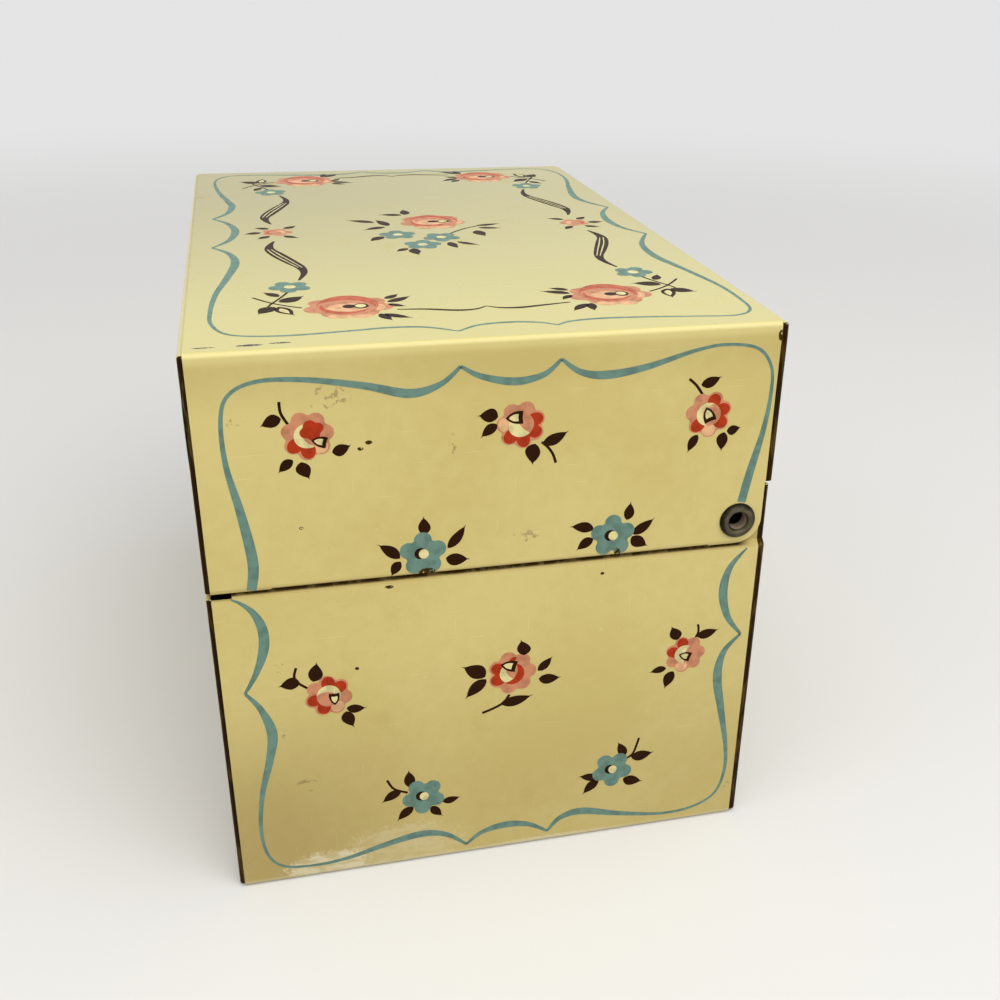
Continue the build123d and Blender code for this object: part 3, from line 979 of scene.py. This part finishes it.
def corner_spray(art, spot):
    """A cabbage rose, a blue flower above it, a spray of leaves outside it and more inside."""
    cabbage_rose(art, spot.middle, 5.9, 7)
    flower = spot.point(-8.2, 13)
    art.dab("blossom", "blue", flower, 3.4, 3.5, spot.angle(45), 2)
    art.dab("petal", "cream", flower, 0.95, 1, 0, 3)
    greenery(
        art, spot,
        [
            (-10.2, 7.4, -12.2, 10.6, 1.6), (-10.3, 4.3, -5.9, 6.6, 2.6),
            (-11, 1.6, -14.2, -1.4, 2.6), (-10.5, 1.6, -8.9, -3.6, 2.4),
            (6, 3.5, 8.7, 5.6, 1.4), (6.2, 1.5, 10.5, 4, 1.7), (6.2, 0.5, 8.6, -1.6, 1.3),
            (4.4, -4.6, 5.4, -8.6, 1.6), (5, -4.8, 8.6, -8, 1.6),
        ],
    )
    art.leaf(spot, (-10.2, 0.6), (-9.2, -2.6), 1.2, "cream", 2)
    for line in (
        [(-14.2, 7.5), (-12.6, 5.3), (-11, 3.5), (-9, 1.8), (-7, 0.5)],
        [(-8.5, 10.4), (-9.4, 8), (-10.5, 5.5), (-11.4, 3.6), (-12, 2)],
    ):
        art.stroke("brown", [(*spot.point(*place), 0.4) for place in line])


def bouquet(art, spot):
    """The top's middle: one rose, three blue flowers under it, and leaves round them."""
    cabbage_rose(art, spot.point(2.3, 8.1), 6.6, 6.6)
    for u, v, turn in ((-6, -2.5, 20), (1.9, -5.8, 50), (-2.5, -11.3, 80)):
        at = spot.point(u, v)
        art.dab("blossom", "blue", at, 3.6, 3.6, turn, 2)
        art.dab("petal", "cream", at, 0.95, 0.95, 0, 3)
    greenery(
        art, spot,
        [
            (-2.2, 15.6, -1.4, 20.6, 2), (-2.9, 15.2, -7.2, 16.8, 1.9),
            (-9.2, 9, -14.2, 12.2, 1.9), (-6.9, 5.6, -8.2, 11.6, 2),
            (-7.6, 4.6, -12.2, 3, 1.8), (-8.8, -3.7, -12.2, -6.8, 2),
            (2.8, -10.2, 3, -15.2, 1.8), (4.2, -10, 7.6, -13.6, 1.4),
            (-4.6, -14.2, -5, -19.2, 2.1), (-5.6, -14, -8.3, -15.8, 1.5),
            (9.7, -1.2, 9.8, -6.2, 2.4), (10.5, 3.2, 15.6, 4.2, 1.4), (10.5, 1.4, 14.8, 0, 1.4),
        ],
        [(4, -3), (6, -0.8), (8, 1.2), (11.5, 3.5)],
    )


def lid_top_art():
    art = Art()
    frame_line(art, TOP_LINE)
    middle_u, middle_v = TOP_MIDDLE
    for flip_u, u in ((1, -20), (-1, 22)):
        for flip_v in (1, -1):
            corner_spray(art, Spot(u, middle_v - flip_v * 53.5, flip_u=flip_u, flip_v=flip_v))
            ribbon(art, Spot(middle_u, middle_v, flip_u=flip_u, flip_v=flip_v), RIBBON)
        rose_bud(art, Spot(middle_u - flip_u * 29.6, middle_v, flip_u=flip_u))
    for flip_v in (1, -1):
        spot = Spot(middle_u, middle_v, flip_v=flip_v)
        for line in BRACKET:
            art.stroke("brown", [(*spot.point(u, v), wide) for u, v, wide in line])
    bouquet(art, Spot(0, 0))
    return art


# ---- printing: dabs are stamped and strokes are swept by geometry nodes ----
def print_tree(inks):
    """Turns a face's points and lines into thin closed films of ink."""
    group = bpy.data.node_groups.new("print_on_tin", "GeometryNodeTree")
    group.interface.new_socket("Geometry", in_out="OUTPUT", socket_type="NodeSocketGeometry")
    inputs = {"Art": "Geometry", "Dabs": "Collection", "Sink": "Float", "Stroke step": "Float"}
    inputs.update(dict.fromkeys(inks, "Material"))
    for name, kind in inputs.items():
        group.interface.new_socket(name, in_out="INPUT", socket_type="NodeSocket" + kind)

    tree = Tree(group)
    given = tree.node("NodeGroupInput").outputs
    sink = Field(tree, given["Sink"])

    def attribute(name, kind="FLOAT"):
        return tree.number("GeometryNodeInputNamedAttribute", {"data_type": kind}, Name=name)

    alone = tree.number("GeometryNodeInputMeshVertexNeighbors").equals(0)
    sunk = tree.node("ShaderNodeCombineXYZ", Z=sink * -1)
    laid = tree.node("GeometryNodeSetPosition", Geometry=given["Art"], Offset=sunk)
    kinds = tree.node(
        "GeometryNodeCollectionInfo",
        Collection=given["Dabs"], Separate_Children=True, Reset_Children=True,
    )
    turned = tree.node("ShaderNodeCombineXYZ", Z=attribute("turn"))
    stamped = tree.node(
        "GeometryNodeInstanceOnPoints",
        Points=laid, Selection=alone, Instance=kinds, Pick_Instance=True,
        Instance_Index=attribute("dab", "INT"), Rotation=turned,
        Scale=attribute("spread", "FLOAT_VECTOR"),
    )
    dabs = tree.node("GeometryNodeRealizeInstances", Geometry=stamped)

    lines = tree.node("GeometryNodeMeshToCurve", Mesh=given["Art"])
    rounded = tree.node("GeometryNodeCurveSplineType", {"spline_type": "CATMULL_ROM"}, Curve=lines)
    step = given["Stroke step"]
    even = tree.node("GeometryNodeResampleCurve", {"mode": "LENGTH"}, Curve=rounded, Length=step)
    level = tree.node("GeometryNodeSetCurveNormal", {"mode": "Z_UP"}, Curve=even)
    brush = tree.node("GeometryNodeCurvePrimitiveQuadrilateral", Width=1, Height=1)
    swept = tree.node(
        "GeometryNodeCurveToMesh",
        Curve=level, Profile_Curve=brush, Scale=attribute("wide"), Fill_Caps=True,
    )
    across, along, up = tree.parts(tree.node("GeometryNodeInputPosition"))
    above = up.math("GREATER_THAN", 0.0)
    height = above * attribute("lift") - (1 - above) * sink
    flat = tree.node("ShaderNodeCombineXYZ", None, across, along, height)
    strokes = tree.node("GeometryNodeSetPosition", Geometry=swept, Position=flat)

    joined = tree.node("GeometryNodeJoinGeometry")
    for part in (strokes, dabs):
        tree.feed(joined.inputs["Geometry"], part)
    film = tree.node("GeometryNodeSetShadeSmooth", Geometry=joined, Shade_Smooth=False)
    for index, name in enumerate(inks):
        chosen = attribute("ink", "INT").equals(index)
        film = tree.node(
            "GeometryNodeSetMaterial", Geometry=film, Selection=chosen, Material=given[name]
        )
    tree.node("NodeGroupOutput", Geometry=film)
    return group


def face_matrix(right, up, origin):
    """Lays art that is drawn in millimetres, right and up, on a face of the box."""
    right, up = Vector(right), Vector(up)
    lie = Matrix((right, up, right.cross(up))).transposed().to_4x4()
    return Matrix.Translation(Vector(origin) * MM) @ lie @ Matrix.Scale(MM, 4)


RIGHT_FACE = face_matrix((0, 1, 0), (0, 0, 1), (SIDE, 0, 0))
LEFT_FACE = Matrix.Scale(-1, 4, (1, 0, 0)) @ RIGHT_FACE
TOP_FACE = face_matrix((0, 1, 0), (-1, 0, 0), (0, 0, TOP))
FRONT_FACE = face_matrix((1, 0, 0), (0, 0, 1), (0, -FACE, 0))
BACK_FACE = face_matrix((-1, 0, 0), (0, 0, 1), (0, FACE, 0))


def print_face(name, art, face, tree, inks, dabs):
    """One face's print as a plain mesh, riding on the part that it is printed on."""
    piece = bpy.data.objects.new(name, art.mesh())
    bpy.context.scene.collection.objects.link(piece)
    press = piece.modifiers.new("press", "NODES")
    press.node_group = tree
    values = {"Dabs": dabs, "Sink": SINK, "Stroke step": STROKE_STEP, **inks}
    for item in tree.interface.items_tree:
        if item.in_out == "INPUT" and item.name in values:
            press[item.identifier] = values[item.name]
    depsgraph = bpy.context.evaluated_depsgraph_get()
    film = bpy.data.meshes.new_from_object(piece.evaluated_get(depsgraph), depsgraph=depsgraph)
    piece.modifiers.clear()
    piece.data = film
    film.name = name
    film.transform(face)
    if face.determinant() < 0:
        film.flip_normals()
    body = "lid" if name.startswith("lid") else "box"
    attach(piece, body)
    "lid_tin" if body == "lid" else "body_tin"


# ---- dressing the box ----
def dress(node, material):
    slots = frame["nodes"][node].data.materials
    slots.clear()
    slots.append(material)


neck = {"necked": True}
worn = {"chips": BODY_CHIPS, "soil": BODY_SOIL, "scuffs": SCUFFS_AND_SHEEN}
for node, closed_way, hem_foot, more in (
    ("lid_wrap", 1, SEAM, {"chips": LID_CHIPS, "soil": LID_SOIL}),
    ("lid_front", 1, SEAM, {"pan": True}),
    ("lid_back", 1, LID_BACK_EDGE, {"pan": True}),
    ("body_wrap", -1, NECK_TOP - HEM, neck | worn),
    ("body_front", -1, NECK_TOP - HEM, neck | {"pan": True}),
    ("body_back", -1, BODY_BACK_TOP - HEM, {"pan": True}),
):
    dress(node, tin_finish(node, closed_way, hem_foot, **more))
aged_rivet = bronze_finish()
for rivet in ("rivet_left", "rivet_right"):
    dress(rivet, aged_rivet)

inks = {name: ink_finish(name, rgb) for name, rgb in INKS.items()}
dabs = bpy.data.collections.new("dabs")
for index, (name, outline) in enumerate(DABS.items()):
    dabs.objects.link(dab_object(index, name, outline))
press_tree = print_tree(inks)

for name, art, face in (
    ("lid_print_right", lid_side_art(), RIGHT_FACE),
    ("lid_print_left", lid_side_art(), LEFT_FACE),
    ("lid_print_top", lid_top_art(), TOP_FACE),
    ("lid_print_front", lid_face_art(SEAM, 1), FRONT_FACE),
    ("lid_print_back", lid_face_art(LID_BACK_EDGE, 2), BACK_FACE),
    ("body_print_right", body_side_art(), RIGHT_FACE),
    ("body_print_left", body_side_art(), LEFT_FACE),
    ("body_print_front", body_face_art(3), FRONT_FACE),
    ("body_print_back", body_face_art(4, BODY_BACK_TOP), BACK_FACE),
):
    print_face(name, art, face, press_tree, inks, dabs)


# ---- floor, light and camera ----
def seen(tree):
    """1 for what the camera sees, by itself or in and through something, and 0 for soft light."""
    rays = tree.node("ShaderNodeLightPath").outputs
    kinds = ("Camera", "Glossy", "Transmission")
    direct, glossy, through = (Field(tree, rays[f"Is {kind} Ray"]) for kind in kinds)
    return direct.most(glossy).most(through)


def pale_floor(paleness):
    """A plain pale floor, which sends little light back up and fades into the backdrop."""
    reach = 6.0
    mesh = bpy.data.meshes.new("floor")
    corners = [(-reach, -reach, 0), (reach, -reach, 0), (reach, reach, 0), (-reach, reach, 0)]
    mesh.from_pydata(corners, [], [(0, 1, 2, 3)])
    floor = bpy.data.objects.new("floor", mesh)
    bpy.context.scene.collection.objects.link(floor)
    finish = Finish("floor_paper")
    view = seen(finish)
    far = finish.length(finish.place).rise(200, 900) * view
    paper = finish.node("ShaderNodeBsdfDiffuse", Color=finish.mix(FLOOR_BOUNCE, FLOOR, view))
    haze = finish.node("ShaderNodeEmission", Color=(1, 1, 1, 1), Strength=paleness)
    mixed = finish.node("ShaderNodeMixShader", None, far, paper, haze)
    finish.node("ShaderNodeOutputMaterial", Surface=mixed)
    mesh.materials.append(finish.material)


def soft_world(strength, paleness):
    """Soft light of that strength, seen as paleness by the camera and by what shines."""
    world = bpy.data.worlds.new("studio")
    world.use_nodes = True
    bpy.context.scene.world = world
    tree = Tree(world.node_tree)
    world.node_tree.nodes.clear()
    shown = seen(tree) * (paleness - strength) + strength
    background = tree.node("ShaderNodeBackground", Color=(1, 1, 1, 1), Strength=shown)
    tree.node("ShaderNodeOutputWorld", Surface=background)


def softbox(name, place, aim, across, power):
    lamp = bpy.data.lights.new(name, "AREA")
    lamp.size = across
    lamp.energy = power
    box = bpy.data.objects.new(name, lamp)
    box.location = place
    box.rotation_euler = (Vector(aim) - Vector(place)).to_track_quat("-Z", "Y").to_euler()
    bpy.context.scene.collection.objects.link(box)


def photo_camera():
    """The photograph's viewpoint, in metres, solved from the box's corners."""
    lens_mm, sensor_mm = 42.1, 36.0
    place, aim = Vector((0.2283, -0.0341, 0.1451)), Vector((0.0, 0.0244, 0.0301))
    roll = 1.22
    data = bpy.data.cameras.new("camera")
    data.lens, data.sensor_width = lens_mm, sensor_mm
    data.shift_x, data.shift_y = -0.0417, 0.0159
    data.clip_start = 0.01
    camera = bpy.data.objects.new("camera", data)
    look = (aim - place).to_track_quat("-Z", "Y").to_matrix().to_4x4()
    turn = Matrix.Rotation(math.radians(roll), 4, "Z")
    camera.matrix_world = Matrix.Translation(place) @ look @ turn
    bpy.context.scene.collection.objects.link(camera)
    bpy.context.scene.camera = camera


paleness, soft_light = 0.78, 0.5
pale_floor(paleness)
soft_world(soft_light, paleness)
box_middle = (0, 0, 0.045)
softbox("key", (0.45, 0.15, 0.9), box_middle, 1.2, 7.2)
softbox("fill", (0.8, 0.3, 0.5), box_middle, 1.2, 3.5)
softbox("front_fill", (0.3, -0.9, 0.5), box_middle, 1.1, 2.6)
photo_camera()
bpy.context.scene.view_settings.view_transform = "Standard"
